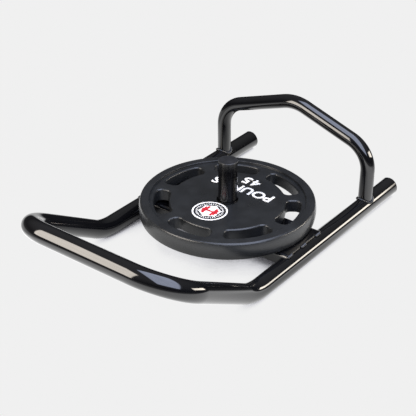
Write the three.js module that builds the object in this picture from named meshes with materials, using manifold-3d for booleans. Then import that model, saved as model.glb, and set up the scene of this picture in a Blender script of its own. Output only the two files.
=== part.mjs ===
// Drag sled: a bent-tube push sled with an upright loading post and one rubber weight plate on it.
// Millimetres, +Z up, +X to the right, +Y to the rear, where the tall hoop stands.
// The origin is on the floor, under the middle of the sled's length and width.

import * as THREE from "three";
import { mergeVertices } from "three/addons/utils/BufferGeometryUtils.js";
import Module from "manifold-3d";

const wasm = await Module();
wasm.setup();

// Clearances shared by all pieces
const gap = 0.3; // between neighbours that touch
const overrun = 6; // how far a cutter passes the face that it cuts

// Runner tube, one bend-formed length: runners, upsweeps and front crossbar
const runnerDiameter = 50;
const runnerWall = 3;
const runnerSpacing = 465.4; // between the two runner axes
const rearEndFromPost = 434; // to the outer face of the rear plugs
const upsweepFromPost = 218.6; // to the corner that the bend rounds off
const crossbarFromPost = 510.85; // to the crossbar's axis
const crossbarHeight = 193.8; // the crossbar's axis above the floor
const upsweepBendRadius = 149;
const crossbarBendRadius = 108;

// Rear plugs
const plugFace = 3;
const plugStem = 16;
const plugChamfer = 0.8;

// Push hoop, a lighter tube on top of the runners
const hoopDiameter = 38;
const hoopWall = 2.6;
const hoopFromPost = 299.2;
const hoopShoulderHeight = 186; // corner between a post and its sloping bar, on the axis
const hoopPeakHeight = 265.3; // corner between the two sloping bars, on the axis
const hoopShoulderRadius = 81;
const hoopPeakRadius = 106;

// Deck, a channel pressed from sheet, flanges down
const deckDepth = 155; // front to rear
const deckSheet = 6.35;
const deckBendRadius = 3; // inside the bend
const deckFlangeHeight = 30;
const deckPastRunnerAxis = 2.3; // how far the sheet reaches past each runner's axis
const deckSeat = 0.4; // weld gap between the sheet and the runners, wider than the cope's

// Loading post
const postDiameter = 48.3;
const postWall = 3;
const postTopHeight = 212; // top of its cap above the floor
const postStub = 12; // below the deck sheet
const capDiameter = 49.2;
const capFace = 4;
const capStem = 14;
const capChamfer = 1;

// Weld beads
const stitchRadius = 5;
const stitchLength = 24;
const stitchPlaceShares = [-0.42, -0.03, 0.39]; // along the deck's depth, from its middle
const stitchNames = ["front", "mid", "rear"];
const hoopBeadRadius = 3;
const postWeldLeg = 7;
const beadBulgeShare = 0.6; // a bead's belly, as a share of its leg

// Weight plate
const plateDiameter = 452; // 450 by its standard, and the rubber coat's tolerance
const plateThickness = 47;
const plateEdgeRadius = 8;
const rimWidth = 26;
const recessDepth = 6;
const recessSlope = 4; // how far the recess wall leans
const rubberCoat = 6.6;
const sleeveDiameter = 55;
const sleeveBore = 51;
const sleeveProud = 3; // above the recessed face, on both sides
const sleeveChamfer = 1;

// Grip holes through the plate
const gripCount = 7;
const gripWidth = 39; // along the plate's radius
const gripHalfAngle = THREE.MathUtils.degToRad(20);
const gripTurn = THREE.MathUtils.degToRad(2.2); // the first hole's turn from the front
const gripCornerShare = 0.37; // corner radius, as a share of the width
const gripEdgeRadius = 7; // rounding where a hole meets the face
const gripMargin = 1; // flat left between that rounding and the recess's wall
const gripArcShare = 2 / 3; // part of each long side that its own arc's points cover

// Badge inlaid in the plate's face
const badgeShare = 0.79; // its diameter, as a share of the face between the sleeve and the holes
const badgeMargin = 2; // between the badge and the sleeve
const badgeRingShare = 0.05; // ring's width, as a share of the badge
const badgeHexagonShare = 0.56; // hexagon across its flats, as a share of the badge
const badgeDepth = 1.5;
const badgeProud = 0.4;

// Barbell mark, in shares of the hexagon's width
const markShares = { length: 0.8, bar: 0.12, plateWidth: 0.12, plateHeight: 0.5, stub: 0.1 };

// Raised numbers
const digitHeight = 32;
const digitWidth = 22;
const digitGap = 6;
const digitThickness = 1;
const digitMargin = 16; // between the numbers and the rounding of the rear holes
const digitsOffCentre = -3;

// Roundness of curved faces
const tubeSides = 24;
const tubeBoreSides = 16;
const hoopSides = 20;
const hoopBoreSides = 12;
const plateSides = 70;
const coreSides = 35;
const beadSides = 8;
const bendStep = THREE.MathUtils.degToRad(8); // largest turn between two stations of a bend
const arcSteps = 3;
const flareSteps = 2;
const pressBendSteps = 2; // half the flats in each bend of the deck
const badgeSides = 48;
const bowlSteps = 12; // in the round part of the 5

// Places that follow from the sizes above
const runnerRadius = runnerDiameter / 2;
const runnerX = runnerSpacing / 2;
const frontReach = crossbarFromPost + runnerRadius;
const postY = (frontReach - rearEndFromPost) / 2;
const runnerEndY = postY + rearEndFromPost - plugFace - gap;
const upsweepY = postY - upsweepFromPost;
const crossbarY = postY - crossbarFromPost;
const hoopRadius = hoopDiameter / 2;
const hoopY = postY + hoopFromPost;
const deckUnder = runnerDiameter + deckSeat;
const deckTop = deckUnder + deckSheet;
const deckWidth = runnerSpacing + 2 * deckPastRunnerAxis;
const postRadius = postDiameter / 2;
const plateBottom = deckTop + gap;
const plateRadius = plateDiameter / 2;
const rimInnerRadius = plateRadius - rimWidth;
const recessRadius = rimInnerRadius - recessSlope;
const faceLow = recessDepth;
const faceHigh = plateThickness - recessDepth;
const plateBoreRadius = sleeveDiameter / 2 + gap;
const gripOuterRadius = recessRadius - gripMargin - gripEdgeRadius;
const gripInnerRadius = gripOuterRadius - gripWidth;
const gripCornerRadius = gripWidth * gripCornerShare;
const clearFaceRadius = gripInnerRadius - gripEdgeRadius;
const badgeDiameter = (clearFaceRadius - sleeveDiameter / 2) * badgeShare;
const badgeRadius = badgeDiameter / 2;
const badgeFromPost = sleeveDiameter / 2 + badgeMargin + badgeRadius;
const badgeHexagonWidth = badgeDiameter * badgeHexagonShare;
const digitsFromPost = clearFaceRadius - digitMargin - digitHeight / 2;

// Finishes
const glossBlack = new THREE.MeshStandardMaterial({ color: 0x141416, roughness: 0.22, metalness: 0.1 });
const satinBlack = new THREE.MeshStandardMaterial({ color: 0x17171a, roughness: 0.4, metalness: 0.1 });
const plasticBlack = new THREE.MeshStandardMaterial({ color: 0x1b1b1d, roughness: 0.5, metalness: 0 });
const rubberBlack = new THREE.MeshStandardMaterial({ color: 0x2b2c30, roughness: 0.6, metalness: 0 });
const castIron = new THREE.MeshStandardMaterial({ color: 0x4a4a4c, roughness: 0.7, metalness: 0.8 });
const bareSteel = new THREE.MeshStandardMaterial({ color: 0x3a3a3d, roughness: 0.35, metalness: 0.9 });
const inlayWhite = new THREE.MeshStandardMaterial({ color: 0xe9e9e7, roughness: 0.5, metalness: 0 });
const inlayRed = new THREE.MeshStandardMaterial({ color: 0xc8202c, roughness: 0.5, metalness: 0 });

// Solids and booleans

// A closed geometry as a solid that can be cut and joined.
function solidOf(geometry) {
  const bare = geometry.clone();
  bare.deleteAttribute("normal");
  bare.deleteAttribute("uv");
  const merged = mergeVertices(bare);
  const corners = [];
  for (let i = 0; i < merged.index.count; i += 3) {
    const [a, b, c] = merged.index.array.slice(i, i + 3);
    if (a !== b && b !== c && c !== a) corners.push(a, b, c);
  }
  const vertProperties = merged.attributes.position.array;
  return new wasm.Manifold(new wasm.Mesh({ numProp: 3, vertProperties, triVerts: new Uint32Array(corners) }));
}

// A solid back as a geometry.
function geometryOf(solid) {
  const { vertProperties, triVerts } = solid.getMesh();
  const geometry = new THREE.BufferGeometry();
  geometry.setAttribute("position", new THREE.BufferAttribute(vertProperties, 3));
  geometry.setIndex(new THREE.BufferAttribute(triVerts, 1));
  geometry.computeVertexNormals();
  return geometry;
}

function addMesh(group, name, geometry, material) {
  const mesh = new THREE.Mesh(geometry, material);
  mesh.name = name;
  group.add(mesh);
  return mesh;
}

// Basic forms

// A regular polygon whose flats, not its corners, lie at the radius.
function polygonPoints(radius, sides) {
  const corner = radius / Math.cos(Math.PI / sides);
  return Array.from({ length: sides }, (_, i) => {
    const angle = ((2 * i + 1) / sides) * Math.PI;
    return new THREE.Vector2(corner * Math.cos(angle), corner * Math.sin(angle));
  });
}

function ringShape(outerRadius, outerSides, innerRadius, innerSides) {
  const shape = new THREE.Shape(polygonPoints(outerRadius, outerSides));
  shape.holes.push(new THREE.Path(polygonPoints(innerRadius, innerSides)));
  return shape;
}

function flatExtrusion(shape, depth, curveSegments = arcSteps) {
  return new THREE.ExtrudeGeometry(shape, { depth, bevelEnabled: false, curveSegments });
}

// A body turned about Z from a profile of [radius, height] pairs, which run anticlockwise.
function turned(profile, sides) {
  const cornerScale = 1 / Math.cos(Math.PI / sides);
  const points = [...profile, profile[0]].map(
    ([radius, height]) => new THREE.Vector2(radius * cornerScale, height),
  );
  return new THREE.LatheGeometry(points, sides, Math.PI / sides).rotateX(Math.PI / 2);
}

// A skin over rings of points that have the same count each. An open stack gets flat ends.
function loft(rings, closesOnItself) {
  const count = rings[0].length;
  const spans = closesOnItself ? rings.length : rings.length - 1;
  const index = [];
  for (let span = 0; span < spans; span += 1) {
    const low = span * count;
    const high = ((span + 1) % rings.length) * count;
    for (let i = 0; i < count; i += 1) {
      const next = (i + 1) % count;
      index.push(low + i, low + next, high + next);
      index.push(low + i, high + next, high + i);
    }
  }
  if (!closesOnItself) {
    const top = (rings.length - 1) * count;
    THREE.ShapeUtils.triangulateShape(rings[0], []).forEach(([a, b, c]) => {
      index.push(c, b, a);
      index.push(top + a, top + b, top + c);
    });
  }
  const geometry = new THREE.BufferGeometry().setFromPoints(rings.flat());
  geometry.setIndex(index);
  return geometry;
}

// A tube's centre line: straight legs and round bends, with stations only where the bends need them.
class BentPath extends THREE.Curve {
  constructor(corners, bendRadii, firstNormal) {
    super();
    let normal = firstNormal.clone();
    let tangent = corners[1].clone().sub(corners[0]).normalize();
    this.stations = [{ point: corners[0], tangent, normal }];
    bendRadii.forEach((radius, i) => {
      const corner = corners[i + 1];
      const leaving = corners[i + 2].clone().sub(corner).normalize();
      const axis = tangent.clone().cross(leaving).normalize();
      const turn = tangent.angleTo(leaving);
      const start = corner.clone().addScaledVector(tangent, -radius * Math.tan(turn / 2));
      const arm = tangent.clone().cross(axis).multiplyScalar(radius);
      const centre = start.clone().sub(arm);
      const steps = Math.ceil(turn / bendStep);
      for (let step = 0; step <= steps; step += 1) {
        const angle = (turn * step) / steps;
        this.stations.push({
          point: centre.clone().add(arm.clone().applyAxisAngle(axis, angle)),
          tangent: tangent.clone().applyAxisAngle(axis, angle),
          normal: normal.clone().applyAxisAngle(axis, angle),
        });
      }
      normal = normal.clone().applyAxisAngle(axis, turn);
      tangent = leaving;
    });
    this.stations.push({ point: corners[corners.length - 1], tangent, normal });
  }

  getUtoTmapping(share) {
    return share;
  }

  getPoint(share, target = new THREE.Vector3()) {
    return target.copy(this.stations[Math.round(share * this.steps)].point);
  }

  get steps() {
    return this.stations.length - 1;
  }

  computeFrenetFrames() {
    return {
      tangents: this.stations.map(({ tangent }) => tangent),
      normals: this.stations.map(({ normal }) => normal),
      binormals: this.stations.map(({ tangent, normal }) => tangent.clone().cross(normal)),
    };
  }

  sweep(shape) {
    return new THREE.ExtrudeGeometry(shape, { steps: this.steps, extrudePath: this });
  }
}

// Plug or cap for a tube's end: a face as wide as the tube and a stem inside its bore, +Z outwards.
function endPlug({ radius, boreRadius, face, stem, chamfer }) {
  const stemRadius = boreRadius - gap;
  const profile = [
    [0, -stem],
    [stemRadius - chamfer, -stem],
    [stemRadius, chamfer - stem],
    [stemRadius, 0],
    [radius, 0],
    [radius, face - chamfer],
    [radius - chamfer, face],
    [0, face],
  ];
  return turned(profile, tubeSides);
}

// Frame

const runnerPath = (() => {
  const corner = (side, y, z) => new THREE.Vector3(side * runnerX, y, z);
  const corners = [
    corner(-1, runnerEndY, runnerRadius),
    corner(-1, upsweepY, runnerRadius),
    corner(-1, crossbarY, crossbarHeight),
    corner(1, crossbarY, crossbarHeight),
    corner(1, upsweepY, runnerRadius),
    corner(1, runnerEndY, runnerRadius),
  ];
  const radii = [upsweepBendRadius, crossbarBendRadius, crossbarBendRadius, upsweepBendRadius];
  return new BentPath(corners, radii, new THREE.Vector3(1, 0, 0));
})();

const hoopPath = (() => {
  const corner = (x, z) => new THREE.Vector3(x, hoopY, z);
  const corners = [
    corner(-runnerX, runnerRadius),
    corner(-runnerX, hoopShoulderHeight),
    corner(0, hoopPeakHeight),
    corner(runnerX, hoopShoulderHeight),
    corner(runnerX, runnerRadius),
  ];
  const radii = [hoopShoulderRadius, hoopPeakRadius, hoopShoulderRadius];
  return new BentPath(corners, radii, new THREE.Vector3(1, 0, 0));
})();

function runnerTube() {
  return runnerPath.sweep(ringShape(runnerRadius, tubeSides, runnerRadius - runnerWall, tubeBoreSides));
}

// The space that the runners keep for themselves, a gap wider than the tube and filled.
function runnerClearance() {
  return solidOf(runnerPath.sweep(new THREE.Shape(polygonPoints(runnerRadius + gap, tubeSides))));
}

// The hoop's feet are coped to sit on the round runners.
function pushHoop() {
  const section = ringShape(hoopRadius, hoopSides, hoopRadius - hoopWall, hoopBoreSides);
  return geometryOf(solidOf(hoopPath.sweep(section)).subtract(runnerClearance()));
}

// Channel: a sheet with two bent-down flanges, drawn in the YZ plane and extruded along X.
// The flanges' ends are coped round the runners.
function deckChannel() {
  const half = deckDepth / 2;
  const outerBend = deckBendRadius + deckSheet;
  const bottom = deckTop - deckFlangeHeight;
  const bendY = half - outerBend;
  const bendZ = deckTop - outerBend;
  const section = new THREE.Shape();
  section.moveTo(-half, bottom);
  section.lineTo(deckSheet - half, bottom);
  section.absarc(-bendY, bendZ, deckBendRadius, Math.PI, Math.PI / 2, true);
  section.absarc(bendY, bendZ, deckBendRadius, Math.PI / 2, 0, true);
  section.lineTo(half - deckSheet, bottom);
  section.lineTo(half, bottom);
  section.absarc(bendY, bendZ, outerBend, 0, Math.PI / 2, false);
  section.absarc(-bendY, bendZ, outerBend, Math.PI / 2, Math.PI, false);
  const geometry = flatExtrusion(section, deckWidth, pressBendSteps).translate(0, 0, -deckWidth / 2);
  const [alongX, alongY, alongZ] = [0, 1, 2].map((i) => new THREE.Vector3().setComponent(i, 1));
  geometry.applyMatrix4(new THREE.Matrix4().makeBasis(alongY, alongZ, alongX));
  const channel = solidOf(geometry.translate(0, postY, 0)).subtract(runnerClearance());

  const postHole = new THREE.Shape(polygonPoints(postRadius + gap, tubeSides));
  const holeCutter = flatExtrusion(postHole, deckSheet + 2 * overrun);
  return geometryOf(channel.subtract(solidOf(holeCutter.translate(0, postY, deckUnder - overrun))));
}

// Short bead in the corner between the sheet's end and the top of a runner, no higher than the sheet.
function stitchWeld(side, placeShare) {
  const bead = new THREE.CapsuleGeometry(stitchRadius, stitchLength - 2 * stitchRadius, arcSteps, beadSides);
  const y = postY + placeShare * deckDepth;
  bead.translate(side * (deckWidth / 2 + gap), y, deckTop - stitchRadius);
  const sheet = new THREE.BoxGeometry(deckWidth + 2 * gap, deckDepth + 2 * gap, deckSheet + 2 * gap);
  sheet.translate(0, postY, deckUnder + deckSheet / 2);
  return geometryOf(solidOf(bead).subtract(solidOf(sheet)).subtract(runnerClearance()));
}

// Bead that follows the saddle line where a hoop post stands on the round runner.
function hoopWeld(side) {
  const rings = Array.from({ length: tubeSides }, (_, i) => {
    const around = (2 * Math.PI * i) / tubeSides;
    const outwards = new THREE.Vector3(Math.cos(around), Math.sin(around), 0);
    const reach = hoopRadius + hoopBeadRadius / 2;
    const centre = outwards.clone().multiplyScalar(reach);
    centre.z = runnerRadius + Math.sqrt((runnerRadius + hoopBeadRadius / 2) ** 2 - centre.x ** 2);
    centre.x += side * runnerX;
    centre.y += hoopY;
    return Array.from({ length: beadSides }, (__, j) => {
      const angle = (-2 * Math.PI * j) / beadSides;
      const point = centre.clone().addScaledVector(outwards, hoopBeadRadius * Math.cos(angle));
      point.z += hoopBeadRadius * Math.sin(angle);
      return point;
    });
  });
  const post = new THREE.Shape(polygonPoints(hoopRadius + gap, hoopSides));
  const postCutter = flatExtrusion(post, hoopShoulderHeight).translate(side * runnerX, hoopY, 0);
  return geometryOf(solidOf(loft(rings, true)).subtract(solidOf(postCutter)).subtract(runnerClearance()));
}

function weightPost() {
  const bottom = deckUnder - postStub;
  const height = postTopHeight - capFace - gap - bottom;
  const section = ringShape(postRadius, tubeSides, postRadius - postWall, tubeBoreSides);
  return flatExtrusion(section, height).translate(0, 0, bottom);
}

// Ring bead in the corner between the post and the underside of the sheet.
function postWeld() {
  const inner = postRadius + gap;
  const top = deckUnder - gap;
  const belly = postWeldLeg * beadBulgeShare;
  const profile = [
    [inner, top - postWeldLeg],
    [inner + belly, top - belly],
    [inner + postWeldLeg, top],
    [inner, top],
  ];
  return turned(profile, tubeSides);
}

// Weight plate, in its own frame: axis on Z, lower rim face at z = 0

// A grip hole's outline about +X, grown by an offset, anticlockwise.
function gripOutline(offset) {
  const outerCentre = gripOuterRadius - gripCornerRadius;
  const innerCentre = gripInnerRadius + gripCornerRadius;
  const outerTurn = gripHalfAngle - Math.asin(gripCornerRadius / outerCentre);
  const innerTurn = gripHalfAngle - Math.asin(gripCornerRadius / innerCentre);
  const cornerRadius = gripCornerRadius + offset;
  const points = [];
  const arc = (x, y, radius, from, to, steps) => {
    for (let step = 0; step <= steps; step += 1) {
      const angle = THREE.MathUtils.lerp(from, to, step / steps);
      points.push(new THREE.Vector2(x + radius * Math.cos(angle), y + radius * Math.sin(angle)));
    }
  };
  const corner = (centreRadius, turn, from, to) => {
    const [x, y] = [centreRadius * Math.cos(turn), centreRadius * Math.sin(turn)];
    arc(x, y, cornerRadius, from, to, arcSteps);
  };
  const square = Math.PI / 2;
  arc(0, 0, gripOuterRadius + offset, -gripArcShare * outerTurn, gripArcShare * outerTurn, arcSteps);
  corner(outerCentre, outerTurn, outerTurn, gripHalfAngle + square);
  corner(innerCentre, innerTurn, gripHalfAngle + square, innerTurn + 2 * square);
  arc(0, 0, gripInnerRadius - offset, gripArcShare * innerTurn, -gripArcShare * innerTurn, arcSteps);
  corner(innerCentre, -innerTurn, 2 * square - innerTurn, 3 * square - gripHalfAngle);
  corner(outerCentre, -outerTurn, -square - gripHalfAngle, -outerTurn);
  return points;
}

// A body of the grip outline, from [height, offset] pairs that run upwards.
function gripColumn(levels) {
  const rings = levels.map(([height, offset]) =>
    gripOutline(offset).map((point) => new THREE.Vector3(point.x, point.y, height)),
  );
  return loft(rings, false);
}

// Copies of a cutter, one at each grip hole, from the front one on.
function cutAtGrips(solid, cutter) {
  let cut = solid;
  for (let i = 0; i < gripCount; i += 1) {
    const angle = (2 * Math.PI * i) / gripCount - Math.PI / 2 + gripTurn;
    cut = cut.subtract(solidOf(cutter.clone().rotateZ(angle)));
  }
  return cut;
}

function gripCutter() {
  const flare = Array.from({ length: flareSteps + 1 }, (_, i) => {
    const angle = (i / flareSteps) * (Math.PI / 2);
    return [gripEdgeRadius * (1 - Math.cos(angle)), gripEdgeRadius * (1 - Math.sin(angle))];
  });
  const lower = flare.map(([depth, offset]) => [faceLow + depth, offset]);
  const upper = flare.map(([depth, offset]) => [faceHigh - depth, offset]).reverse();
  const start = [faceLow - overrun, gripEdgeRadius];
  const end = [faceHigh + overrun, gripEdgeRadius];
  return gripColumn([start, ...lower, ...upper, end]);
}

// The iron core's solid, or with growth the room that it takes up in the rubber.
function coreBlank(growth, innerRadius) {
  const webLow = faceLow + rubberCoat - growth;
  const webHigh = faceHigh - rubberCoat + growth;
  const rimLow = rubberCoat - growth;
  const rimHigh = plateThickness - rubberCoat + growth;
  const rimInner = rimInnerRadius + rubberCoat - growth;
  const rimOuter = plateRadius - rubberCoat + growth;
  const profile = [
    [innerRadius, webLow],
    [rimInner, webLow],
    [rimInner, rimLow],
    [rimOuter, rimLow],
    [rimOuter, rimHigh],
    [rimInner, rimHigh],
    [rimInner, webHigh],
    [innerRadius, webHigh],
  ];
  const windowOffset = rubberCoat - growth;
  const window = gripColumn([
    [faceLow, windowOffset],
    [faceHigh, windowOffset],
  ]);
  return cutAtGrips(solidOf(turned(profile, coreSides)), window);
}

function plateCore() {
  return geometryOf(coreBlank(0, plateBoreRadius));
}

function plateCasing() {
  const edgeArc = (centreZ, from) =>
    Array.from({ length: arcSteps + 1 }, (_, i) => {
      const angle = from + (i / arcSteps) * (Math.PI / 2);
      const radius = plateRadius - plateEdgeRadius + plateEdgeRadius * Math.cos(angle);
      return [radius, centreZ + plateEdgeRadius * Math.sin(angle)];
    });
  const profile = [
    [plateBoreRadius, faceLow],
    [recessRadius, faceLow],
    [rimInnerRadius, 0],
    ...edgeArc(plateEdgeRadius, -Math.PI / 2),
    ...edgeArc(plateThickness - plateEdgeRadius, 0),
    [rimInnerRadius, plateThickness],
    [recessRadius, faceHigh],
    [plateBoreRadius, faceHigh],
  ];
  const blank = solidOf(turned(profile, plateSides));
  const hollow = blank.subtract(coreBlank(gap, plateBoreRadius - overrun));
  const pocket = new THREE.Shape(polygonPoints(badgeRadius + gap, badgeSides));
  const pocketCutter = flatExtrusion(pocket, badgeDepth + overrun);
  pocketCutter.translate(0, -badgeFromPost, faceHigh - badgeDepth);
  return geometryOf(cutAtGrips(hollow, gripCutter()).subtract(solidOf(pocketCutter)));
}

function hubSleeve() {
  const [inner, outer] = [sleeveBore / 2, sleeveDiameter / 2];
  const [low, high] = [faceLow - sleeveProud, faceHigh + sleeveProud];
  const profile = [
    [inner + sleeveChamfer, low],
    [outer, low],
    [outer, high],
    [inner + sleeveChamfer, high],
    [inner, high - sleeveChamfer],
    [inner, low + sleeveChamfer],
  ];
  return turned(profile, tubeSides);
}

// A barbell seen from the side: a bar with one plate near each end.
function barbellPoints(growth) {
  const length = badgeHexagonWidth * markShares.length;
  const stub = badgeHexagonWidth * markShares.stub; // bar left outside each plate
  const plateWidth = badgeHexagonWidth * markShares.plateWidth;
  const end = length / 2 + growth;
  const plateOut = length / 2 - stub + growth;
  const plateIn = length / 2 - stub - plateWidth - growth;
  const bar = (badgeHexagonWidth * markShares.bar) / 2 + growth;
  const plate = (badgeHexagonWidth * markShares.plateHeight) / 2 + growth;
  const quarter = [
    [end, bar],
    [plateOut, bar],
    [plateOut, plate],
    [plateIn, plate],
    [plateIn, bar],
  ];
  const mirrored = (signX, signY) => quarter.map(([x, y]) => new THREE.Vector2(signX * x, signY * y));
  return [
    ...mirrored(1, 1),
    ...mirrored(-1, 1).reverse(),
    ...mirrored(-1, -1),
    ...mirrored(1, -1).reverse(),
  ];
}

// The badge's inlays, side by side in one pocket.
function badgeShapes() {
  const innerRingRadius = badgeRadius - badgeDiameter * badgeRingShare;
  const hexagonRadius = badgeHexagonWidth / 2;
  const hexagon = new THREE.Shape(polygonPoints(hexagonRadius, 6));
  hexagon.holes.push(new THREE.Path(barbellPoints(gap)));
  return [
    ["badge_ring", ringShape(badgeRadius, badgeSides, innerRingRadius, badgeSides), inlayWhite],
    ["badge_field", ringShape(innerRingRadius - gap, badgeSides, hexagonRadius + gap, 6), plasticBlack],
    ["badge_hexagon", hexagon, inlayWhite],
    ["badge_mark", new THREE.Shape(barbellPoints(0)), inlayRed],
  ];
}

// Numerals, drawn as shares of a glyph's width and height
function fourShape() {
  const outlineShares = [
    [0.6, 0], [0.84, 0], [0.84, 0.22], [1, 0.22], [1, 0.4], [0.84, 0.4],
    [0.84, 1], [0.56, 1], [0, 0.42], [0, 0.22], [0.6, 0.22],
  ];
  const counterShares = [[0.6, 0.4], [0.26, 0.4], [0.6, 0.76]];
  const scaled = ([x, y]) => new THREE.Vector2(x * digitWidth, y * digitHeight);
  const shape = new THREE.Shape(outlineShares.map(scaled));
  shape.holes.push(new THREE.Path(counterShares.map(scaled)));
  return shape;
}

function fiveShape() {
  const flagShares = [[0.3, 0.6], [0.32, 0.82], [0.92, 0.82], [0.92, 1], [0.12, 1], [0.06, 0.42]];
  const bowlCentreShares = [0.46, 0.33];
  const bowlShares = { outer: [0.5, 0.33], inner: [0.26, 0.16] };
  const bowlTurns = { outer: [-155, 108], inner: [140, -150] }; // degrees, where each arc starts and ends
  const bowlArc = (edge) =>
    Array.from({ length: bowlSteps + 1 }, (_, i) => {
      const angle = THREE.MathUtils.degToRad(THREE.MathUtils.lerp(...bowlTurns[edge], i / bowlSteps));
      return [
        bowlCentreShares[0] + bowlShares[edge][0] * Math.cos(angle),
        bowlCentreShares[1] + bowlShares[edge][1] * Math.sin(angle),
      ];
    });
  const outlineShares = [...bowlArc("inner"), ...bowlArc("outer"), ...flagShares];
  return new THREE.Shape(outlineShares.map(([x, y]) => new THREE.Vector2(x * digitWidth, y * digitHeight)));
}

// Assembly

const sled = new THREE.Group();
addMesh(sled, "runner_tube", runnerTube(), glossBlack);
addMesh(sled, "push_hoop", pushHoop(), glossBlack);
addMesh(sled, "deck_channel", deckChannel(), glossBlack);
addMesh(sled, "weight_post", weightPost(), satinBlack).position.y = postY;
addMesh(sled, "post_weld", postWeld(), glossBlack).position.y = postY;

const capSizes = { radius: capDiameter / 2, boreRadius: postRadius - postWall };
const cap = endPlug({ ...capSizes, face: capFace, stem: capStem, chamfer: capChamfer });
addMesh(sled, "post_cap", cap, plasticBlack).position.set(0, postY, postTopHeight - capFace);

const plugSizes = { radius: runnerRadius, boreRadius: runnerRadius - runnerWall };
const plug = endPlug({ ...plugSizes, face: plugFace, stem: plugStem, chamfer: plugChamfer });
for (const [side, sideName] of [[-1, "left"], [1, "right"]]) {
  const runnerPlug = addMesh(sled, `runner_plug_${sideName}`, plug, plasticBlack);
  runnerPlug.rotation.x = -Math.PI / 2;
  runnerPlug.position.set(side * runnerX, runnerEndY + gap, runnerRadius);
  addMesh(sled, `hoop_weld_${sideName}`, hoopWeld(side), glossBlack);
  stitchNames.forEach((place, i) => {
    addMesh(sled, `deck_weld_${sideName}_${place}`, stitchWeld(side, stitchPlaceShares[i]), glossBlack);
  });
}

const weightPlate = new THREE.Group();
weightPlate.position.set(0, postY, plateBottom);
sled.add(weightPlate);
addMesh(weightPlate, "hub_sleeve", hubSleeve(), bareSteel);
addMesh(weightPlate, "plate_casing", plateCasing(), rubberBlack);
addMesh(weightPlate, "plate_core", plateCore(), castIron);

for (const [name, shape, material] of badgeShapes()) {
  const inlay = addMesh(weightPlate, name, flatExtrusion(shape, badgeDepth - gap + badgeProud), material);
  inlay.position.set(0, -badgeFromPost, faceHigh - badgeDepth + gap);
}

// The number reads from the rear, so its group is turned half round.
const numbers = new THREE.Group();
numbers.position.set(digitsOffCentre, digitsFromPost, faceHigh + gap);
numbers.rotation.z = Math.PI;
weightPlate.add(numbers);
for (const [name, shape, x] of [
  ["digit_4", fourShape(), -digitGap / 2 - digitWidth],
  ["digit_5", fiveShape(), digitGap / 2],
]) {
  const digit = addMesh(numbers, name, flatExtrusion(shape, digitThickness), inlayWhite);
  digit.position.set(x, -digitHeight / 2, 0);
}

export default sled;
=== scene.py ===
import math

import bmesh
import bpy
from mathutils import Matrix, Vector


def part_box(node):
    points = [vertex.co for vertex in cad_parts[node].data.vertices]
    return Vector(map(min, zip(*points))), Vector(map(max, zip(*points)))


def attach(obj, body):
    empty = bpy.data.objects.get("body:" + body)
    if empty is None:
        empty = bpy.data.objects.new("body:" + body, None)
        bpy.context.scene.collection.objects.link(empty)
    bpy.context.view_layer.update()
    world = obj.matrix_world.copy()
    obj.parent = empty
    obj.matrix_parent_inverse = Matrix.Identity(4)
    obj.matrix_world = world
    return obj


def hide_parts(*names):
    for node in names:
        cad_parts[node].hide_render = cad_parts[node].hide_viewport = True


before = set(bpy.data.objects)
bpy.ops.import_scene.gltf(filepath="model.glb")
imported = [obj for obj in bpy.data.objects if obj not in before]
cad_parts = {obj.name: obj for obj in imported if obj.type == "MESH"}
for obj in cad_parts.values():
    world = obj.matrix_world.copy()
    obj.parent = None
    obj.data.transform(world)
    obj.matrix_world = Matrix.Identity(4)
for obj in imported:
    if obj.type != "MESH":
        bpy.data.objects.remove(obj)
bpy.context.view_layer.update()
print("frame loaded:", len(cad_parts), "nodes")

# Pieces are built in millimetres, and the studio in metres, as the frame is. Angles are in degrees.
perMetre = 1000
gap = 0.3  # the clearance that the CAD leaves between neighbours
smoothAngle = 32  # edges flatter than this are shaded smooth
sharpAngle = 40  # edges sharper than this are rounded off
weldReach = 0.004  # how close two corners of a finished form have to be to become one
touching = 0.01  # how close counts as the same place, radius or height while a form is built


def boxOf(node):
    low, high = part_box(node)
    return low * perMetre, high * perMetre


# Materials


def srgb(code):
    channels = [int(code[i:i + 2], 16) / 255 for i in (1, 3, 5)]
    return (*[c / 12.92 if c <= 0.04045 else ((c + 0.055) / 1.055) ** 2.4 for c in channels], 1)


# Adds a node. Its inputs are given by name, or as a list in the order of its sockets.
def addNode(tree, kind, inputs=(), **settings):
    node = tree.nodes.new("ShaderNode" + kind)
    for key, value in settings.items():
        setattr(node, key, value)
    given = inputs if isinstance(inputs, dict) else dict(enumerate(inputs))
    for name, value in given.items():
        socket = node.inputs[name]
        if isinstance(value, bpy.types.NodeSocket):
            tree.links.new(value, socket)
        else:
            socket.default_value = value
    return node


# The stops of a colour ramp, from its low end up: places and colours.
def setRamp(ramp, *stops):
    elements = ramp.color_ramp.elements
    for position, code in stops[1:-1]:
        elements.new(position)
    for i, (position, code) in enumerate(stops):
        elements[i].position, elements[i].color = position, srgb(code)


def newTree(name):
    material = bpy.data.materials.new(name)
    material.use_nodes = True
    material.node_tree.nodes.clear()
    return material, material.node_tree


def perSize(millimetres):
    return perMetre / millimetres  # noise scale whose features are this wide


noise = {"broad": {"Detail": 4.0}, "fine": {"Detail": 3.0, "Roughness": 0.6},
         "colourSpan": (0.35, 0.68), "glossSpan": (0.3, 0.7)}


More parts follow.
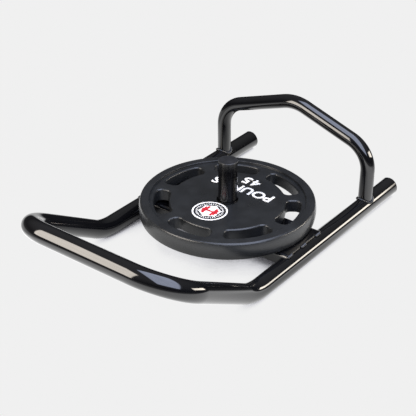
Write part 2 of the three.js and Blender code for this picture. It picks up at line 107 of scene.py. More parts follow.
# Two noises on object coordinates: a broad one that drifts the colour and the gloss, and a fine one
# for the surface itself. A Map Range node is given its value, the ends of the range that it comes from and
# the ends of the one that it goes into.
def surface(name, dark, light, drift, grain, depth, roughness, **shader):
    material, tree = newTree(name)
    place = addNode(tree, "TexCoord").outputs["Object"]
    broad = addNode(tree, "TexNoise", {"Vector": place, "Scale": perSize(drift), **noise["broad"]})
    fine = addNode(tree, "TexNoise", {"Vector": place, "Scale": perSize(grain), **noise["fine"]})
    ramp = addNode(tree, "ValToRGB", {"Fac": broad.outputs["Fac"]})
    setRamp(ramp, *zip(noise["colourSpan"], (dark, light)))
    gloss = addNode(tree, "MapRange", (broad.outputs["Fac"], *noise["glossSpan"], *roughness))
    relief = {"Height": fine.outputs["Fac"], "Strength": 1.0, "Distance": depth / perMetre}
    bump = addNode(tree, "Bump", relief)
    finish = {"Base Color": ramp.outputs["Color"], "Roughness": gloss.outputs["Result"],
              "Normal": bump.outputs["Normal"], **shader}
    principled = addNode(tree, "BsdfPrincipled", finish)
    addNode(tree, "OutputMaterial", {"Surface": principled.outputs["BSDF"]})
    return material


# Stoved gloss enamel on bent steel tube: deep black, mirror-like, with a faint orange peel.
tubeEnamel = surface("Stoved black gloss enamel", "#070708", "#0a0a0c", drift=90, grain=5, depth=0.006,
                     roughness=(0.045, 0.085), IOR=1.52)
# The same enamel over a weld bead, thicker between the ripples: a little softer in its highlights.
weldEnamel = surface("Gloss enamel over weld bead", "#08080a", "#0c0c0e", drift=20, grain=2.2, depth=0.04,
                     roughness=(0.08, 0.16), IOR=1.52)
# Semi-gloss powder coat on the post, rubbed by the plate's sleeve: soft highlights, here sharper, there
# duller.
postCoat = surface("Rubbed semi-gloss powder coat", "#040405", "#0a0a0b", drift=30, grain=3, depth=0.03,
                   roughness=(0.12, 0.22), IOR=1.46)
# Injection-moulded polyethylene caps: dull black, with a spark-eroded grain that breaks up highlights.
# Its real grain of about 0.2 mm is drawn at 2.4 mm, since a pixel covers about as much.
capPlastic = surface("Moulded black polyethylene", "#0e0e10", "#161618", drift=25, grain=2.4, depth=0.03,
                     roughness=(0.42, 0.55), IOR=1.51)
# Vulcanised rubber coat: charcoal, satin, lightly blotched where mould release dried.
# Its real grain of 0.3 mm is drawn at 2.6 mm, since a pixel covers about as much.
plateRubber = surface("Vulcanised satin rubber", "#161718", "#1d1e1f", drift=45, grain=2.6, depth=0.05,
                      roughness=(0.27, 0.35), IOR=1.43)
# Blackened steel of the turned sleeve: a dark, blurred sheen. Its tool marks of about 0.3 mm are drawn as a
# grain of 1.6 mm, which is about as wide as its rim.
sleeveSteel = surface("Blackened turned steel", "#161617", "#2a2a2c", drift=12, grain=1.6, depth=0.02,
                      roughness=(0.3, 0.42), Metallic=1.0)
# Sand-cast grey iron, as the mould left it: grey, dull and pitted.
castIron = surface("Sand-cast grey iron", "#3a3a3b", "#57575a", drift=18, grain=3, depth=0.25,
                   roughness=(0.6, 0.75), Metallic=1.0)
# Cast polyurethane inlays and letters, matt with a slight bloom.
whiteInlay = surface("White cast polyurethane", "#cfccc5", "#dcd9d2", drift=20, grain=2, depth=0.02,
                     roughness=(0.45, 0.6), IOR=1.5)
blackInlay = surface("Black cast polyurethane", "#101012", "#17171a", drift=20, grain=2, depth=0.02,
                     roughness=(0.45, 0.6), IOR=1.5)
redInlay = surface("Red cast polyurethane", "#960f1a", "#ad1a26", drift=20, grain=2, depth=0.02,
                   roughness=(0.45, 0.6), IOR=1.5)
print("materials ready")


# Modelling helpers, all in millimetres


def vertsOf(geometry):
    return [g for g in geometry if isinstance(g, bmesh.types.BMVert)]


def edgesOf(geometry):
    return [g for g in geometry if isinstance(g, bmesh.types.BMEdge)]


def everything(bm):
    return bm.verts[:] + bm.edges[:] + bm.faces[:]


# Draws edges out by a shift, and gives back the edges that the sweep ends in.
def extruded(bm, edges, shift):
    made = bmesh.ops.extrude_edge_only(bm, edges=edges)["geom"]
    verts = set(vertsOf(made))
    bmesh.ops.translate(bm, verts=list(verts), vec=shift)
    return [e for e in edgesOf(made) if e.verts[0] in verts and e.verts[1] in verts]


def loopVerts(edges):
    return list({v for e in edges for v in e.verts})


def weldDoubles(bm, distance=weldReach):
    bmesh.ops.remove_doubles(bm, verts=bm.verts[:], dist=distance)


def faceOut(bm):
    weldDoubles(bm)
    bmesh.ops.recalc_face_normals(bm, faces=bm.faces[:])


def roundOff(bm, edges, width, segments, clamp=True):
    bmesh.ops.bevel(bm, geom=edges, offset=width, offset_type="OFFSET", segments=segments, profile=0.5,
                    affect="EDGES", clamp_overlap=clamp, material=-1)


def sharpEdges(bm, degrees=sharpAngle):
    return [e for e in bm.edges if len(e.link_faces) == 2 and e.calc_face_angle() > math.radians(degrees)]


# Chains of edges: a straight step to a point, and a turn about a centre.
def stepTo(bm, vert, point):
    end = bmesh.ops.extrude_vert_indiv(bm, verts=[vert])["verts"][0]
    end.co = point
    return end


def turnAbout(bm, vert, centre, degrees, steps, axis=(0, 0, 1)):
    made = bmesh.ops.spin(bm, geom=[vert], cent=centre, axis=axis, angle=math.radians(degrees), steps=steps)
    return vertsOf(made["geom_last"])[0]


# A body turned about Z. The profile is a list of (radius, height) corners.
def turned(bm, profile, steps, closed=False):
    first = last = bmesh.ops.create_vert(bm, co=(profile[0][0], 0, profile[0][1]))["vert"][0]
    for radius, height in profile[1:]:
        last = stepTo(bm, last, (radius, 0, height))
    if closed:
        bm.edges.new((last, first))
    bmesh.ops.spin(bm, geom=bm.verts[:] + bm.edges[:], cent=(0, 0, 0), axis=(0, 0, 1), angle=math.tau,
                   steps=steps, use_merge=True)
    faceOut(bm)


# Makes an object of a bmesh and puts it into the scene.
def objectOf(bm, name):
    mesh = bpy.data.meshes.new(name)
    bm.to_mesh(mesh)
    bm.free()
    made = bpy.data.objects.new(name, mesh)
    bpy.context.scene.collection.objects.link(made)
    return made


# Takes a piece from millimetres into the frame, hangs it on the body that carries it, and hides the nodes it
# stands for.
def finishPiece(bm, name, material, body, nodes=()):
    bmesh.ops.scale(bm, vec=[1 / perMetre] * 3, verts=bm.verts[:])
    piece = objectOf(bm, name)
    piece.data.shade_smooth()
    piece.data.set_sharp_from_angle(angle=math.radians(smoothAngle))
    piece.data.materials.append(material)
    even = piece.modifiers.new("Even normals", "WEIGHTED_NORMAL")
    even.keep_sharp = True
    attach(piece, body)
    if nodes:
        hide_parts(*nodes)


# A modifier's result as a plain bmesh in millimetres.
def evaluated(bm, modify):
    blank = objectOf(bm, "blank")
    modify(blank)
    shaped = bmesh.new()
    shaped.from_object(blank, bpy.context.evaluated_depsgraph_get())
    bpy.data.objects.remove(blank)
    return shaped


# Bent tubes

# The runner's diameter and the hoop's peak are a little under the CAD's, so that rounder tubes stay
# inside its box.
runner = {
    "diameter": 49.99, "wall": 3, "axisX": 232.7, "rearY": 481.625, "sides": 56,
    "upsweepY": -167.675, "crossbarY": -459.925, "crossbarZ": 193.8,
    "upsweepBend": 149, "crossbarBend": 108, "degreesPerStep": 2.5,
}
hoop = {
    "diameter": 38, "wall": 2.6, "y": 350.125, "shoulderZ": 186, "peakZ": 264.95, "sides": 48,
    "shoulderBend": 81, "peakBend": 106, "degreesPerStep": 2.5,
}
runnerRadius = runner["diameter"] / 2


# Two rings of edges, the tube's skin and its bore, swept along straight legs and round bends.
def bentTube(bm, corners, bends, sizes):
    corners = [Vector(c) for c in corners]
    heading = (corners[1] - corners[0]).normalized()
    seat = Matrix.Translation(corners[0]) @ heading.to_track_quat("Z", "Y").to_matrix().to_4x4()
    for radius in (sizes["diameter"] / 2, sizes["diameter"] / 2 - sizes["wall"]):
        bmesh.ops.create_circle(bm, segments=sizes["sides"], radius=radius, matrix=seat)
    firstEnd = rings = bm.edges[:]
    at = corners[0]
    for corner, beyond, bend in zip(corners[1:], corners[2:], bends):
        leaving = (beyond - corner).normalized()
        axis = heading.cross(leaving).normalized()
        turn = heading.angle(leaving)
        start = corner - heading * bend * math.tan(turn / 2)
        rings = extruded(bm, rings, start - at)
        centre = start + axis.cross(heading) * bend
        steps = math.ceil(math.degrees(turn) / sizes["degreesPerStep"])
        made = bmesh.ops.spin(bm, geom=loopVerts(rings) + rings, cent=centre, axis=axis, angle=turn,
                              steps=steps)
        rings = edgesOf(made["geom_last"])
        at = corner + leaving * bend * math.tan(turn / 2)
        heading = leaving
    lastEnd = extruded(bm, rings, corners[-1] - at)
    return firstEnd, lastEnd


def closeTube(bm, *ends):
    for end in ends:
        bmesh.ops.bridge_loops(bm, edges=end)
    faceOut(bm)


def buildRunners():
    x, upsweepY, r = runner["axisX"], runner["upsweepY"], runnerRadius
    corners = [(-x, runner["rearY"], r), (-x, upsweepY, r), (-x, runner["crossbarY"], runner["crossbarZ"]),
               (x, runner["crossbarY"], runner["crossbarZ"]), (x, upsweepY, r), (x, runner["rearY"], r)]
    bends = [runner[k] for k in ("upsweepBend", "crossbarBend", "crossbarBend", "upsweepBend")]
    bm = bmesh.new()
    ends = bentTube(bm, corners, bends, runner)
    closeTube(bm, *ends)
    finishPiece(bm, "runner_frame", tubeEnamel, "sled", ["runner_tube"])


# Height of the runner's back under a point x beside its axis, with the weld's gap.
def saddle(x, clearance=gap):
    return runnerRadius + math.sqrt((runnerRadius + clearance) ** 2 - x ** 2)


def buildHoop():
    x, y = runner["axisX"], hoop["y"]
    corners = [(-x, y, runnerRadius), (-x, y, hoop["shoulderZ"]), (0, y, hoop["peakZ"]),
               (x, y, hoop["shoulderZ"]), (x, y, runnerRadius)]
    bm = bmesh.new()
    ends = bentTube(bm, corners, [hoop["shoulderBend"], hoop["peakBend"], hoop["shoulderBend"]], hoop)
    for end in ends:
        for v in loopVerts(end):  # the foot is coped to the runner's round back
            v.co.z = saddle(abs(v.co.x) - x)
    closeTube(bm, *ends)
    finishPiece(bm, "hoop_frame", tubeEnamel, "sled", ["push_hoop"])


buildRunners()
buildHoop()
print("tubes bent")


# Deck

deck = {"edgeRound": 0.9, "edgeSteps": 2, "sharpFrom": 60, "bend": 3, "bendSteps": 8, "sheet": 6.35,
        "flange": 30, "overrun": 6, "cutterLength": 25.4, "sides": 64}


def buildDeck():
    low, high = boxOf("deck_channel")
    outerBend = deck["bend"] + deck["sheet"]
    bm = bmesh.new()
    # The sheet's outer face as a chain across the channel: up a flange, over the top, down the other.
    last = bmesh.ops.create_vert(bm, co=(low.x, low.y, high.z - deck["flange"]))["vert"][0]
    last = stepTo(bm, last, (low.x, low.y, high.z - outerBend))
    centre = (low.x, low.y + outerBend, high.z - outerBend)
    last = turnAbout(bm, last, centre, -90, deck["bendSteps"], axis=(1, 0, 0))
    last = stepTo(bm, last, (low.x, high.y - outerBend, high.z))
    centre = (low.x, high.y - outerBend, high.z - outerBend)
    last = turnAbout(bm, last, centre, -90, deck["bendSteps"], axis=(1, 0, 0))
    stepTo(bm, last, (low.x, high.y, high.z - deck["flange"]))
    extruded(bm, bm.edges[:], (high.x - low.x, 0, 0))
    bmesh.ops.recalc_face_normals(bm, faces=bm.faces[:])
    top = max(bm.faces, key=lambda f: f.calc_center_median().z)
    if top.normal.z < 0:
        bmesh.ops.reverse_faces(bm, faces=bm.faces[:])

    def thicken(blank):
        wall = blank.modifiers.new("Sheet", "SOLIDIFY")
        wall.thickness, wall.offset, wall.use_even_offset = deck["sheet"], -1, True

    solid = evaluated(bm, thicken)
    roundOff(solid, sharpEdges(solid, deck["sharpFrom"]), deck["edgeRound"], deck["edgeSteps"])

    postLow, postHigh = boxOf("weight_post")
    postHole, cope = (postHigh.x - postLow.x) / 2 + gap, runnerRadius + gap
    postAxis = Vector(((postLow.x + postHigh.x) / 2, (postLow.y + postHigh.y) / 2, high.z))
    tools = bmesh.new()
    bmesh.ops.create_cone(tools, cap_ends=True, segments=deck["sides"], radius1=postHole, radius2=postHole,
                          depth=deck["cutterLength"], matrix=Matrix.Translation(postAxis))
    length = high.y - low.y + 2 * deck["overrun"]
    for side in (-1, 1):
        along = Matrix.Translation((side * runner["axisX"], (low.y + high.y) / 2, runnerRadius))
        bmesh.ops.create_cone(tools, cap_ends=True, segments=deck["sides"], radius1=cope, radius2=cope,
                              depth=length, matrix=along @ Matrix.Rotation(math.radians(90), 4, "X"))
    cutter = objectOf(tools, "deck cutter")

    def cut(blank):
        holes = blank.modifiers.new("Cope", "BOOLEAN")
        holes.operation, holes.solver, holes.object = "DIFFERENCE", "EXACT", cutter

    coped = evaluated(solid, cut)
    bpy.data.objects.remove(cutter)
    faceOut(coped)
    finishPiece(coped, "deck_plate", tubeEnamel, "sled", ["deck_channel"])


buildDeck()
print("deck pressed")


# Weld beads

# Up the side of a ring bead a ripple lags by rippleLean, in radians. The rings of a stitch bead span all
# but the ends of its length, and ringSpan says how much.
bead = {"sides": 14, "ripplePitch": 2.7, "rippleDepth": 0.13, "rippleSteps": 6, "rippleLean": 2,
        "ringRadius": 3, "stitchRadius": 5, "stitchRings": 44, "ringSpan": 0.995, "fadePower": 4,
        "chevron": 0.16, "chevronSpread": 1.4, "postLeg": 7}


# A ring bead round an upright tube: a torus whose section swells with each pass of the torch,
# lifted onto whatever the tube stands on.
def ringBead(name, centre, tubeRadius, sectionRadius, lift, node):
    reach = tubeRadius + sectionRadius / 2
    ripples = round(math.tau * reach / bead["ripplePitch"])
    bm = bmesh.new()
    seat = Matrix.Translation((reach, 0, 0)) @ Matrix.Rotation(math.radians(90), 4, "X")
    bmesh.ops.create_circle(bm, segments=bead["sides"], radius=sectionRadius, matrix=seat)
    bmesh.ops.spin(bm, geom=bm.verts[:] + bm.edges[:], cent=(0, 0, 0), axis=(0, 0, 1), angle=math.tau,
                   steps=ripples * bead["rippleSteps"], use_merge=True)
    faceOut(bm)
    for v in bm.verts:
        around = math.atan2(v.co.y, v.co.x)
        core = Vector((reach * math.cos(around), reach * math.sin(around), 0))
        lean = bead["rippleLean"] * v.co.z / sectionRadius
        swell = 1 + bead["rippleDepth"] * math.cos(ripples * around + lean)
        v.co = core + (v.co - core) * swell + Vector((0, 0, lift(core.x)))
    bmesh.ops.translate(bm, verts=bm.verts[:], vec=centre)
    finishPiece(bm, name, weldEnamel, "sled", [node])


# A stitch bead along Y in the corner between the deck's end and the runner: rings of edges drawn out
# one by one, each as wide as the torch left it there.
def stitchBead(name, node):
    low, high = boxOf(node)
    length, radius = high.y - low.y, bead["stitchRadius"]
    side = 1 if low.x > 0 else -1
    centre = Vector((low.x if side > 0 else high.x, (low.y + high.y) / 2, high.z - radius))

    def width(y):
        fade = math.sqrt(max(0, 1 - abs(2 * y / length) ** bead["fadePower"]))
        ripple = (math.cos(math.tau * y / bead["ripplePitch"]) - 1) / 2
        return radius * fade * (1 + bead["rippleDepth"] * ripple)

    bm = bmesh.new()
    count = bead["stitchRings"]
    stops = [length * (i / count - 0.5) * bead["ringSpan"] for i in range(count + 1)]
    seat = Matrix.Translation((0, stops[0], 0)) @ Matrix.Rotation(math.radians(90), 4, "X")
    bmesh.ops.create_circle(bm, cap_ends=True, segments=bead["sides"], radius=width(stops[0]), matrix=seat)
    ring = bm.edges[:]
    for before, now in zip(stops, stops[1:]):
        ring = extruded(bm, ring, (0, now - before, 0))
        scale = width(now) / width(before)
        bmesh.ops.scale(bm, vec=(scale, 1, scale), verts=loopVerts(ring))
    bmesh.ops.contextual_create(bm, geom=ring)
    faceOut(bm)
    for v in bm.verts:  # each ripple is a chevron that lags at its edges
        across = abs(v.co.x + v.co.z * side) / bead["chevronSpread"]
        v.co.y += bead["chevron"] * (radius - across) * (1 - (2 * v.co.y / length) ** 2)
    bmesh.ops.translate(bm, verts=bm.verts[:], vec=centre)
    finishPiece(bm, name, weldEnamel, "sled", [node])


for side, sign in (("left", -1), ("right", 1)):
    ringBead("hoop_bead_" + side, (sign * runner["axisX"], hoop["y"], 0), hoop["diameter"] / 2,
             bead["ringRadius"], lambda x: saddle(x, bead["ringRadius"] / 2), "hoop_weld_" + side)
    for place in ("front", "mid", "rear"):
        stitchBead(f"deck_bead_{side}_{place}", f"deck_weld_{side}_{place}")
print("beads laid")


# Post, cap and plugs

# The shares are of a cap's radius, crown and edge.
post = {"wall": 3, "sides": 64, "edgeRound": 0.6, "edgeSteps": 2, "capOverhang": 0.45, "boreFit": 0.3,
        "capFace": 4, "capStem": 14, "capCrown": 0.9, "capEdge": 1.1,
        "plugFace": 3, "plugStem": 16, "plugCrown": 0.4, "plugEdge": 0.8,
        "crownAtShare": 0.45, "crownDropShare": 0.25, "rimRoundShare": 0.4}


# Moulded end cap about Z, its underside on z = 0: a slightly crowned face and a stem for the bore.
def endCap(bm, radius, stemRadius, face, stem, edge, crown):
    swell = (radius * post["crownAtShare"], face - crown * post["crownDropShare"])
    profile = [(0, face), swell, (radius - edge, face - crown), (radius, face - crown - edge), (radius, 0),
               (stemRadius, 0), (stemRadius, -stem + edge), (stemRadius - edge, -stem), (0, -stem)]
    turned(bm, profile, post["sides"])
    lowest, innermost = face - crown - edge - touching, radius - edge - touching
    rim = [e for e in bm.edges
           if all(v.co.z > lowest and v.co.xy.length > innermost for v in e.verts)
           and abs(e.verts[0].co.z - e.verts[1].co.z) < touching]
    roundOff(bm, rim, edge * post["rimRoundShare"], post["edgeSteps"])


def buildPost():
    low, high = boxOf("weight_post")
    capHigh = boxOf("post_cap")[1]
    radius = capHigh.x - post["capOverhang"]
    inner = radius - post["wall"]
    axis = Vector(((low.x + high.x) / 2, (low.y + high.y) / 2, 0))
    wall = [(radius, low.z), (radius, high.z), (inner, high.z), (inner, low.z)]
    bm = bmesh.new()
    turned(bm, wall, post["sides"], closed=True)
    roundOff(bm, sharpEdges(bm), post["edgeRound"], post["edgeSteps"])
    bmesh.ops.translate(bm, verts=bm.verts[:], vec=axis)
    finishPiece(bm, "loading_post", postCoat, "sled", ["weight_post"])

    bm = bmesh.new()
    endCap(bm, capHigh.x, inner - post["boreFit"], post["capFace"], post["capStem"], post["capEdge"],
           post["capCrown"])
    bmesh.ops.translate(bm, verts=bm.verts[:], vec=axis + Vector((0, 0, capHigh.z - post["capFace"])))
    finishPiece(bm, "post_end_cap", capPlastic, "sled", ["post_cap"])


def buildPlugs():
    stemRadius = runnerRadius - runner["wall"] - post["boreFit"]
    facingRear = Matrix.Rotation(math.radians(-90), 3, "X")
    for side in ("left", "right"):
        low, high = boxOf("runner_plug_" + side)
        bm = bmesh.new()
        endCap(bm, runnerRadius, stemRadius, post["plugFace"], post["plugStem"], post["plugEdge"],
               post["plugCrown"])
        bmesh.ops.rotate(bm, cent=(0, 0, 0), matrix=facingRear, verts=bm.verts[:])
        bmesh.ops.translate(bm, verts=bm.verts[:],
                            vec=((low.x + high.x) / 2, high.y - post["plugFace"], (low.z + high.z) / 2))
        finishPiece(bm, "runner_end_plug_" + side, capPlastic, "sled", ["runner_plug_" + side])


buildPost()
buildPlugs()
postLow, postHigh = boxOf("weight_post")
ringBead("post_bead", (0, (postLow.y + postHigh.y) / 2, boxOf("post_weld")[1].z - bead["postLeg"] / 2),
         (postHigh.x - postLow.x) / 2, bead["postLeg"] / 2, lambda x: 0, "post_weld")
print("post and plugs in place")


# Weight plate

casing = {
    "boreRadius": 27.8, "recessFoot": 199, "recessLip": 200, "recess": 6, "edgeRound": 7, "edgeSteps": 7,
    "lipRound": 1.2, "stepsPerHalfSector": 12, "holes": 7, "holeInner": 149, "holeOuter": 188,
    "holeHalfAngle": 20, "holeCorner": 14.43, "holeRound": 5, "holeRoundSegments": 6, "cornerSteps": 7,
    "longSideSteps": 7, "firstHole": -87.8, "crown": 70, "crownSteps": 4,
    "lipSteps": 4, "lipReach": 0.1, "rimJoin": 0.02, "besideHole": 1,
}


def polar(radius, degrees, centre=(0, 0)):
    angle = math.radians(degrees)
    return Vector((centre[0] + radius * math.cos(angle), centre[1] + radius * math.sin(angle), 0))


# Half a sector of the face with half a grip hole cut out of it: one closed chain of edges, filled. The walls
# of the hole and of the bore are drawn down from it to the plate's middle.
def halfSector(bm, height):
    c = casing
    corner, halfAngle, sector = c["holeCorner"], c["holeHalfAngle"], 180 / c["holes"]
    innerTurn = halfAngle - math.degrees(math.asin(corner / (c["holeInner"] + corner)))
    outerTurn = halfAngle - math.degrees(math.asin(corner / (c["holeOuter"] - corner)))
    innerCentre = polar(c["holeInner"] + corner, innerTurn)
    outerCentre = polar(c["holeOuter"] - corner, outerTurn)
    origin, side = (0, 0, 0), halfAngle + 90
    v = bmesh.ops.create_vert(bm, co=(c["boreRadius"], 0, 0))["vert"][0]
    v = stepTo(bm, v, (c["holeInner"], 0, 0))
    before = set(bm.edges)
    v = turnAbout(bm, v, origin, innerTurn, c["longSideSteps"])
    v = turnAbout(bm, v, innerCentre, side - innerTurn - 180, c["cornerSteps"])
    v = stepTo(bm, v, polar(corner, side, outerCentre))
    v = turnAbout(bm, v, outerCentre, outerTurn - side, c["cornerSteps"])
    v = turnAbout(bm, v, origin, -outerTurn, c["longSideSteps"])
    hole = [e for e in bm.edges if e not in before]
    v = stepTo(bm, v, (c["recessFoot"], 0, 0))
    v = turnAbout(bm, v, origin, sector, c["stepsPerHalfSector"])
    v = stepTo(bm, v, polar(c["boreRadius"], sector))
    turnAbout(bm, v, origin, -sector, c["stepsPerHalfSector"])
    bmesh.ops.translate(bm, verts=bm.verts[:], vec=(0, 0, height))
    weldDoubles(bm, touching)
    bmesh.ops.contextual_create(bm, geom=bm.edges[:])
    bore = [e for e in bm.edges if all(abs(v.co.xy.length - c["boreRadius"]) < touching for v in e.verts)]
    extruded(bm, hole + bore, (0, 0, -height))


def buildCasing():
    low, high = boxOf("plate_casing")
    middle = (low + high) / 2
    halfThickness, outer = (high.z - low.z) / 2, (high.x - low.x) / 2
    face = halfThickness - casing["recess"]
    bm = bmesh.new()
    halfSector(bm, face)
    for axis in "YZ":
        bmesh.ops.mirror(bm, geom=everything(bm), matrix=Matrix.Identity(4), merge_dist=touching, axis=axis)
    faceOut(bm)
    innermost = casing["holeInner"] - casing["besideHole"]
    rims = [e for e in sharpEdges(bm)
            if all(abs(abs(v.co.z) - face) < touching and v.co.xy.length > innermost for v in e.verts)]
    roundOff(bm, rims, casing["holeRound"], casing["holeRoundSegments"], clamp=False)
    copies = casing["holes"] - 1
    bmesh.ops.spin(bm, geom=everything(bm), cent=(0, 0, 0), axis=(0, 0, 1), steps=copies,
                   angle=math.tau * copies / casing["holes"], use_duplicate=True)
    weldDoubles(bm, touching)

    # The rim: a chain from the recess's foot over the lip and the rounded edge to the middle of the crowned
    # wall, and the same below.
    rim = bmesh.new()
    crown, r = casing["crown"], casing["edgeRound"]
    tilt = math.asin((halfThickness - r) / (crown - r))
    flat = outer - crown + (crown - r) * math.cos(tilt)
    v = bmesh.ops.create_vert(rim, co=(casing["recessFoot"], 0, face))["vert"][0]
    v = stepTo(rim, v, (casing["recessLip"], 0, halfThickness))
    v = stepTo(rim, v, (flat, 0, halfThickness))
    edgeCentre = (flat, 0, halfThickness - r)
    v = turnAbout(rim, v, edgeCentre, 90 - math.degrees(tilt), casing["edgeSteps"], axis=(0, 1, 0))
    turnAbout(rim, v, (outer - crown, 0, 0), math.degrees(tilt), casing["crownSteps"], axis=(0, 1, 0))
    bmesh.ops.mirror(rim, geom=everything(rim), matrix=Matrix.Identity(4), merge_dist=touching, axis="Z")
    bmesh.ops.spin(rim, geom=everything(rim), cent=(0, 0, 0), axis=(0, 0, 1), angle=math.tau,
                   steps=2 * casing["holes"] * casing["stepsPerHalfSector"], use_merge=True)
    rimMesh = bpy.data.meshes.new("rim")
    rim.to_mesh(rimMesh)
    rim.free()
    bm.from_mesh(rimMesh)
    weldDoubles(bm, casing["rimJoin"])
    bmesh.ops.recalc_face_normals(bm, faces=bm.faces[:])
    lip, reach = casing["recessLip"], casing["lipReach"]
    lips = [e for e in bm.edges if all(abs(v.co.xy.length - lip) < reach for v in e.verts)]
    roundOff(bm, lips, casing["lipRound"], casing["lipSteps"])
    firstHole = Matrix.Rotation(math.radians(casing["firstHole"]), 3, "Z")
    bmesh.ops.rotate(bm, cent=(0, 0, 0), matrix=firstHole, verts=bm.verts[:])
    bmesh.ops.translate(bm, verts=bm.verts[:], vec=middle)
    finishPiece(bm, "plate_rubber_coat", plateRubber, "weight_plate", ["plate_casing"])


sleeve = {"outside": 55, "bore": 51, "edgeRound": 0.8, "edgeSteps": 3, "sides": 96}


def buildSleeve():
    low, high = boxOf("hub_sleeve")
    outer, inner = sleeve["outside"] / 2, sleeve["bore"] / 2
    wall = [(outer, low.z), (outer, high.z), (inner, high.z), (inner, low.z)]
    bm = bmesh.new()
    turned(bm, wall, sleeve["sides"], closed=True)
    roundOff(bm, sharpEdges(bm), sleeve["edgeRound"], sleeve["edgeSteps"])
    bmesh.ops.translate(bm, verts=bm.verts[:], vec=(0, (low.y + high.y) / 2, 0))
    finishPiece(bm, "hub_bushing", sleeveSteel, "hub_sleeve", ["hub_sleeve"])


buildCasing()
buildSleeve()
print("plate moulded")


# Badge and lettering

badge = {"softEdge": 0.25, "softSteps": 2, "flatWithin": 1, "markProud": 0.15,
         "ticks": 36, "longEvery": 3, "tickIn": 29.2, "tickOut": 35.8, "tickWidth": 2.4, "tickProud": 0.25,
         "shortTickShare": 0.7, "tickSoftShare": 0.4, "tickSoftSteps": 1}
# A quarter of the barbell's outline: distance from its middle and half height, as shares of the
# hexagon's width.
barbellShares = ((0, 0.065), (0.17, 0.065), (0.17, 0.36), (0.31, 0.36), (0.31, 0.24), (0.4, 0.24),
                 (0.4, 0.065), (0.46, 0.065), (0.46, 0))
# How thick the unit word is, and its place from the post's axis.
letters = {"thickness": 1.0, "wordLow": 48, "wordHigh": 81, "wordLeft": -92, "wordRight": 92}
typeShares = {"boldness": 0.02, "depth": 0.02, "softEdge": 0.004, "weld": 0.0001}  # of the type's size
typeSteps = {"curves": 6, "softEdge": 1}


# A copy of a CAD inlay's form in millimetres, with its loose triangles merged.
def inlayForm(node):
    bm = bmesh.new()
    bm.from_mesh(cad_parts[node].data)
    bmesh.ops.scale(bm, vec=[perMetre] * 3, verts=bm.verts[:])
    weldDoubles(bm, touching)
    flat = math.radians(badge["flatWithin"])
    bmesh.ops.dissolve_limit(bm, angle_limit=flat, verts=bm.verts[:], edges=bm.edges[:])
    return bm


def finishInlay(bm, node, name, material):
    top = max(v.co.z for v in bm.verts)
    upper = [e for e in sharpEdges(bm) if all(v.co.z > top - touching for v in e.verts)]
    roundOff(bm, upper, badge["softEdge"], badge["softSteps"])
    finishPiece(bm, name, material, "weight_plate", [node])


def buildBadge():
    finishInlay(inlayForm("badge_ring"), "badge_ring", "badge_outer_ring", whiteInlay)
    finishInlay(inlayForm("badge_field"), "badge_field", "badge_dark_field", blackInlay)

    # The hexagon is whole, and the mark stands a little out of it, larger and bolder than the CAD's.
    low, high = boxOf("badge_hexagon")
    middle, reach = (low + high) / 2, (high.y - low.y) / 2
    bm = bmesh.new()
    bmesh.ops.create_cone(bm, cap_ends=True, segments=6, radius1=reach, radius2=reach, depth=high.z - low.z,
                          matrix=Matrix.Translation(middle))
    finishInlay(bm, "badge_hexagon", "badge_light_hexagon", whiteInlay)
    first, *others = [Vector((x, y, 0)) * (high.x - low.x) for x, y in barbellShares]
    bm = bmesh.new()
    last = bmesh.ops.create_vert(bm, co=first)["vert"][0]
    for point in others:
        last = stepTo(bm, last, point)
    for axis in "XY":
        bmesh.ops.mirror(bm, geom=everything(bm), matrix=Matrix.Identity(4), merge_dist=touching, axis=axis)
    bmesh.ops.contextual_create(bm, geom=bm.edges[:])
    made = bmesh.ops.extrude_face_region(bm, geom=bm.faces[:])["geom"]
    bmesh.ops.translate(bm, verts=vertsOf(made), vec=(0, 0, high.z - low.z))
    faceOut(bm)
    bmesh.ops.translate(bm, verts=bm.verts[:], vec=(middle.x, middle.y, low.z + badge["markProud"]))
    finishInlay(bm, "badge_mark", "badge_barbell", redInlay)

    low, high = boxOf("badge_field")
    centre = (low + high) / 2
    bm = bmesh.new()
    span = badge["tickOut"] - badge["tickIn"]
    for i in range(badge["ticks"]):
        length = span if i % badge["longEvery"] == 0 else span * badge["shortTickShare"]
        seat = (Matrix.Rotation(math.tau * i / badge["ticks"], 4, "Z")
                @ Matrix.Translation((badge["tickOut"] - length / 2, 0, 0))
                @ Matrix.Diagonal((length, badge["tickWidth"], 2 * badge["tickProud"], 1)))
        bmesh.ops.create_cube(bm, size=1, matrix=seat)
    roundOff(bm, sharpEdges(bm), badge["tickProud"] * badge["tickSoftShare"], badge["tickSoftSteps"])
    bmesh.ops.translate(bm, verts=bm.verts[:], vec=(centre.x, centre.y, high.z))
    finishPiece(bm, "badge_ticks", whiteInlay, "weight_plate")


